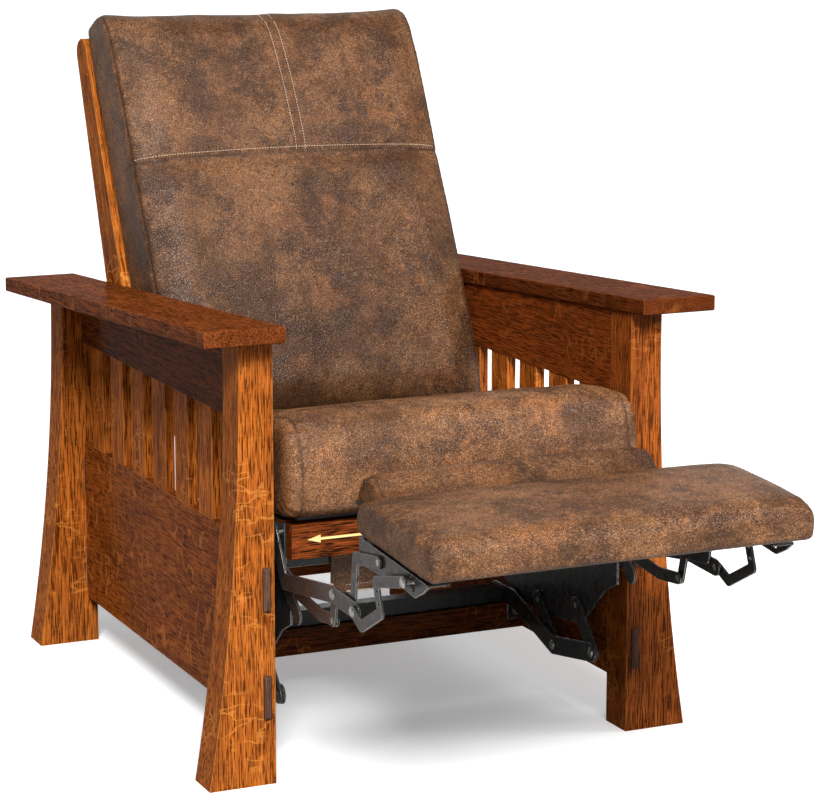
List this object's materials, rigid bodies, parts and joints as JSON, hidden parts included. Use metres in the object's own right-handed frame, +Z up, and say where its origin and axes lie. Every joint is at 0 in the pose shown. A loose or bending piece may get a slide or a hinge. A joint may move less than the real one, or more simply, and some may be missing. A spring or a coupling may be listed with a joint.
{
  "type": "mission reclining armchair",
  "caption": "Slat-sided oak armchair whose leather seat, reclining back and folding footrest ride on steel linkages",
  "frame": {"origin": "on the floor, under the middle of the bounding box", "axes": "+Y from the footrest to the back, +Z up, +X to the right of somebody looking at the front"},
  "size_m": [0.7604, 1.3561, 1.0149],
  "materials": {
    "oak": "satin lacquer over a red-brown stain, quartersawn",
    "walnut": "dark satin",
    "leather": "distressed brown, soft sheen",
    "webbing": "woven jute-coloured strap",
    "plywood": "raw sheet",
    "brass": "brushed",
    "zinc_steel": "zinc plated",
    "black_steel": "black semi-gloss paint, worn at the edges"
  },
  "bodies": {
    "frame": {"front_leg_right": "oak", "front_leg_left": "oak", "rear_leg_right": "oak", "rear_leg_left": "oak", "arm_right": "oak", "arm_left": "oak", "side_panel_right": "oak", "side_panel_left": "oak", "top_rail_right": "oak", "top_rail_left": "oak", "side_slats_right": "oak", "side_slats_left": "oak", "tenon_keys": "walnut", "middle_cross_rail": "oak", "rear_cross_rail": "oak", "base_plates": "black_steel", "base_cross_tube": "black_steel", "mounting_ears": "black_steel", "mounting_bolts": "zinc_steel", "swing_arm_studs": "zinc_steel"},
    "front_swing_arms": {"front_swing_arms": "black_steel"},
    "rear_swing_arms": {"rear_swing_arms": "black_steel"},
    "carriage": {"carriage_plate_right": "black_steel", "carriage_plate_left": "black_steel", "carriage_cross_tubes": "black_steel", "carriage_pins": "zinc_steel", "seat_front_rail": "oak", "seat_side_rails": "oak", "seat_rear_rail": "oak", "direction_arrow": "brass", "seat_valance": "leather", "seat_webbing": "webbing", "seat_cushion": "leather"},
    "rear_links": {"rear_links": "black_steel", "rear_link_pins": "zinc_steel"},
    "lower_links": {"lower_links": "black_steel"},
    "front_links": {"front_links": "black_steel", "front_link_pins": "zinc_steel"},
    "control_links": {"control_links": "black_steel", "control_link_pins": "zinc_steel"},
    "footrest": {"footrest_bracket_right": "black_steel", "footrest_bracket_left": "black_steel", "footrest_board": "plywood", "flap_hinge_rod": "black_steel", "footrest_pad": "leather"},
    "flap": {"flap_board": "plywood", "flap_straps": "black_steel", "flap_pad": "leather"},
    "back": {"back_post_right": "oak", "back_post_left": "oak", "back_slats": "oak", "back_brackets": "black_steel", "back_bracket_screws": "zinc_steel", "back_cushion": "leather"}
  },
  "joints": [
    {"name": "back_recline", "type": "hinge", "parent": "carriage", "child": "back", "pos_m": [0, 0.36895, 0.33], "axis": [-1, 0, 0], "range_deg": [-8, 22]},
    {"name": "front_swing", "type": "hinge", "parent": "frame", "child": "front_swing_arms", "pos_m": [0, -0.13905, 0.108], "axis": [1, 0, 0], "range_deg": [-12, 33]},
    {"name": "carriage_swing", "type": "hinge", "parent": "front_swing_arms", "child": "carriage", "pos_m": [0, -0.08305, 0.164], "axis": [1, 0, 0], "range_deg": [-33, 12]},
    {"name": "rear_swing", "type": "hinge", "parent": "frame", "child": "rear_swing_arms", "pos_m": [0, -0.01905, 0.088], "axis": [1, 0, 0], "range_deg": [-12, 33]},
    {"name": "footrest_fold", "type": "hinge", "parent": "carriage", "child": "rear_links", "pos_m": [0, -0.17055, 0.3457], "axis": [1, 0, 0], "range_deg": [0, 112.08]},
    {"name": "lower_link_turn", "type": "hinge", "parent": "carriage", "child": "lower_links", "pos_m": [0, -0.16055, 0.3077], "axis": [1, 0, 0], "range_deg": [0, 112.08]},
    {"name": "front_link_turn", "type": "hinge", "parent": "rear_links", "child": "front_links", "pos_m": [0, -0.37135, 0.3089], "axis": [1, 0, 0], "range_deg": [-112.08, 0]},
    {"name": "control_link_turn", "type": "hinge", "parent": "rear_links", "child": "control_links", "pos_m": [0, -0.44445, 0.305], "axis": [1, 0, 0], "range_deg": [-102.05, 0]},
    {"name": "footrest_tip", "type": "hinge", "parent": "front_links", "child": "footrest", "pos_m": [0, -0.50585, 0.3818], "axis": [1, 0, 0], "range_deg": [0, 90.01]},
    {"name": "flap_fold", "type": "hinge", "parent": "footrest", "child": "flap", "pos_m": [0, -0.45105, 0.4], "axis": [1, 0, 0], "range_deg": [-176.01, 0]}
  ],
  "couplings": [
    {"joint": "front_swing", "follows": "back_recline", "ratio": 1.5},
    {"joint": "carriage_swing", "follows": "back_recline", "ratio": -1.5},
    {"joint": "rear_swing", "follows": "back_recline", "ratio": 1.5},
    {"joint": "lower_link_turn", "follows": "footrest_fold", "ratio": 1},
    {"joint": "front_link_turn", "follows": "footrest_fold", "ratio": -1},
    {"joint": "control_link_turn", "follows": "footrest_fold", "ratio": -0.9105},
    {"joint": "footrest_tip", "follows": "footrest_fold", "ratio": 0.80303},
    {"joint": "flap_fold", "follows": "footrest_fold", "ratio": -1.5704}
  ]
}
